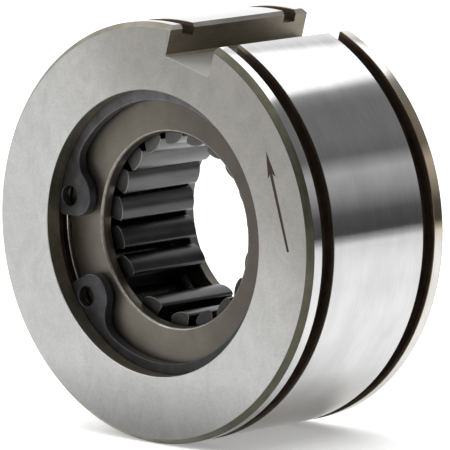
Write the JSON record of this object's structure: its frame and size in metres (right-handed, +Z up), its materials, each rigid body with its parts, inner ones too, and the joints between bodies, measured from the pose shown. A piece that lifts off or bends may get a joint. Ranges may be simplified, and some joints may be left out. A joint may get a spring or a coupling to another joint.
{
  "type": "sprag clutch",
  "caption": "One-way sprag clutch without inner race: keyed outer race with seal grooves, snap rings, end plates and sprung sprags that grip a plain shaft.",
  "frame": {"origin": "centre of the clutch: on its axis, midway between its two faces", "axes": "+Y along the clutch axis from the front face to the rear face, +Z up with the ring standing on its rim, +X to the right seen from the front; the keyway lies 15.6 degrees clockwise from +Z seen from the front"},
  "size_m": [0.052, 0.025, 0.052],
  "materials": {
    "ground_race_steel": "ground, satin on the face",
    "dark_ring_steel": "dark oiled oxide",
    "plate_steel": "fine turned, hardened",
    "spring_steel": "drawn wire",
    "sprag_steel": "tumbled hardened steel, oiled"
  },
  "bodies": {
    "outer_race": {"outer_race": "ground_race_steel", "front_snap_ring": "dark_ring_steel", "rear_snap_ring": "dark_ring_steel", "front_end_plate": "plate_steel", "rear_end_plate": "plate_steel"},
    "sprag_complement": {"front_garter_spring": "spring_steel", "rear_garter_spring": "spring_steel"},
    "sprag_01": {"sprag_01": "sprag_steel"},
    "sprag_02": {"sprag_02": "sprag_steel"},
    "sprag_03": {"sprag_03": "sprag_steel"},
    "sprag_04": {"sprag_04": "sprag_steel"},
    "sprag_05": {"sprag_05": "sprag_steel"},
    "sprag_06": {"sprag_06": "sprag_steel"},
    "sprag_07": {"sprag_07": "sprag_steel"},
    "sprag_08": {"sprag_08": "sprag_steel"},
    "sprag_09": {"sprag_09": "sprag_steel"},
    "sprag_10": {"sprag_10": "sprag_steel"},
    "sprag_11": {"sprag_11": "sprag_steel"},
    "sprag_12": {"sprag_12": "sprag_steel"},
    "sprag_13": {"sprag_13": "sprag_steel"},
    "sprag_14": {"sprag_14": "sprag_steel"},
    "sprag_15": {"sprag_15": "sprag_steel"},
    "sprag_16": {"sprag_16": "sprag_steel"},
    "sprag_17": {"sprag_17": "sprag_steel"},
    "sprag_18": {"sprag_18": "sprag_steel"}
  },
  "joints": [
    {"name": "complement_spin", "type": "hinge", "parent": "outer_race", "child": "sprag_complement", "pos_m": [0, 0, 0], "axis": [0, 1, 0], "continuous": true},
    {"name": "sprag_01_tilt", "type": "hinge", "parent": "sprag_complement", "child": "sprag_01", "pos_m": [-0.00581, 0, 0.0115], "axis": [0, 1, 0], "range_deg": [0, 12], "stiffness_Nm_per_rad": 0.002, "springref_deg": -5.73},
    {"name": "sprag_02_tilt", "type": "hinge", "parent": "sprag_complement", "child": "sprag_02", "pos_m": [-0.00916, 0, 0.00906], "axis": [0, 1, 0], "range_deg": [0, 12], "stiffness_Nm_per_rad": 0.002, "springref_deg": -5.73},
    {"name": "sprag_03_tilt", "type": "hinge", "parent": "sprag_complement", "child": "sprag_03", "pos_m": [-0.01156, 0, 0.00568], "axis": [0, 1, 0], "range_deg": [0, 12], "stiffness_Nm_per_rad": 0.002, "springref_deg": -5.73},
    {"name": "sprag_04_tilt", "type": "hinge", "parent": "sprag_complement", "child": "sprag_04", "pos_m": [-0.01276, 0, 0.00172], "axis": [0, 1, 0], "range_deg": [0, 12], "stiffness_Nm_per_rad": 0.002, "springref_deg": -5.73},
    {"name": "sprag_05_tilt", "type": "hinge", "parent": "sprag_complement", "child": "sprag_05", "pos_m": [-0.01265, 0, -0.00242], "axis": [0, 1, 0], "range_deg": [0, 12], "stiffness_Nm_per_rad": 0.002, "springref_deg": -5.73},
    {"name": "sprag_06_tilt", "type": "hinge", "parent": "sprag_complement", "child": "sprag_06", "pos_m": [-0.01123, 0, -0.0063], "axis": [0, 1, 0], "range_deg": [0, 12], "stiffness_Nm_per_rad": 0.002, "springref_deg": -5.73},
    {"name": "sprag_07_tilt", "type": "hinge", "parent": "sprag_complement", "child": "sprag_07", "pos_m": [-0.00626, 0, -0.01125], "axis": [0, 1, 0], "range_deg": [0, 12], "stiffness_Nm_per_rad": 0.002, "springref_deg": -5.73},
    {"name": "sprag_08_tilt", "type": "hinge", "parent": "sprag_complement", "child": "sprag_08", "pos_m": [-0.00103, 0, -0.01284], "axis": [0, 1, 0], "range_deg": [0, 12], "stiffness_Nm_per_rad": 0.002, "springref_deg": -5.73},
    {"name": "sprag_09_tilt", "type": "hinge", "parent": "sprag_complement", "child": "sprag_09", "pos_m": [0.0036, 0, -0.01237], "axis": [0, 1, 0], "range_deg": [0, 12], "stiffness_Nm_per_rad": 0.002, "springref_deg": -5.73},
    {"name": "sprag_10_tilt", "type": "hinge", "parent": "sprag_complement", "child": "sprag_10", "pos_m": [0.00733, 0, -0.01059], "axis": [0, 1, 0], "range_deg": [0, 12], "stiffness_Nm_per_rad": 0.002, "springref_deg": -5.73},
    {"name": "sprag_11_tilt", "type": "hinge", "parent": "sprag_complement", "child": "sprag_11", "pos_m": [0.01031, 0, -0.00771], "axis": [0, 1, 0], "range_deg": [0, 12], "stiffness_Nm_per_rad": 0.002, "springref_deg": -5.73},
    {"name": "sprag_12_tilt", "type": "hinge", "parent": "sprag_complement", "child": "sprag_12", "pos_m": [0.01223, 0, -0.00404], "axis": [0, 1, 0], "range_deg": [0, 12], "stiffness_Nm_per_rad": 0.002, "springref_deg": -5.73},
    {"name": "sprag_13_tilt", "type": "hinge", "parent": "sprag_complement", "child": "sprag_13", "pos_m": [0.01281, 0, 0.0013], "axis": [0, 1, 0], "range_deg": [0, 12], "stiffness_Nm_per_rad": 0.002, "springref_deg": -5.73},
    {"name": "sprag_14_tilt", "type": "hinge", "parent": "sprag_complement", "child": "sprag_14", "pos_m": [0.01174, 0, 0.0053], "axis": [0, 1, 0], "range_deg": [0, 12], "stiffness_Nm_per_rad": 0.002, "springref_deg": -5.73},
    {"name": "sprag_15_tilt", "type": "hinge", "parent": "sprag_complement", "child": "sprag_15", "pos_m": [0.00945, 0, 0.00875], "axis": [0, 1, 0], "range_deg": [0, 12], "stiffness_Nm_per_rad": 0.002, "springref_deg": -5.73},
    {"name": "sprag_16_tilt", "type": "hinge", "parent": "sprag_complement", "child": "sprag_16", "pos_m": [0.00618, 0, 0.0113], "axis": [0, 1, 0], "range_deg": [0, 12], "stiffness_Nm_per_rad": 0.002, "springref_deg": -5.73},
    {"name": "sprag_17_tilt", "type": "hinge", "parent": "sprag_complement", "child": "sprag_17", "pos_m": [0.00228, 0, 0.01268], "axis": [0, 1, 0], "range_deg": [0, 12], "stiffness_Nm_per_rad": 0.002, "springref_deg": -5.73},
    {"name": "sprag_18_tilt", "type": "hinge", "parent": "sprag_complement", "child": "sprag_18", "pos_m": [-0.00186, 0, 0.01274], "axis": [0, 1, 0], "range_deg": [0, 12], "stiffness_Nm_per_rad": 0.002, "springref_deg": -5.73}
  ],
  "couplings": [
    {"joint": "sprag_02_tilt", "follows": "sprag_01_tilt", "ratio": 1},
    {"joint": "sprag_03_tilt", "follows": "sprag_01_tilt", "ratio": 1},
    {"joint": "sprag_04_tilt", "follows": "sprag_01_tilt", "ratio": 1},
    {"joint": "sprag_05_tilt", "follows": "sprag_01_tilt", "ratio": 1},
    {"joint": "sprag_06_tilt", "follows": "sprag_01_tilt", "ratio": 1},
    {"joint": "sprag_07_tilt", "follows": "sprag_01_tilt", "ratio": 1},
    {"joint": "sprag_08_tilt", "follows": "sprag_01_tilt", "ratio": 1},
    {"joint": "sprag_09_tilt", "follows": "sprag_01_tilt", "ratio": 1},
    {"joint": "sprag_10_tilt", "follows": "sprag_01_tilt", "ratio": 1},
    {"joint": "sprag_11_tilt", "follows": "sprag_01_tilt", "ratio": 1},
    {"joint": "sprag_12_tilt", "follows": "sprag_01_tilt", "ratio": 1},
    {"joint": "sprag_13_tilt", "follows": "sprag_01_tilt", "ratio": 1},
    {"joint": "sprag_14_tilt", "follows": "sprag_01_tilt", "ratio": 1},
    {"joint": "sprag_15_tilt", "follows": "sprag_01_tilt", "ratio": 1},
    {"joint": "sprag_16_tilt", "follows": "sprag_01_tilt", "ratio": 1},
    {"joint": "sprag_17_tilt", "follows": "sprag_01_tilt", "ratio": 1},
    {"joint": "sprag_18_tilt", "follows": "sprag_01_tilt", "ratio": 1}
  ]
}
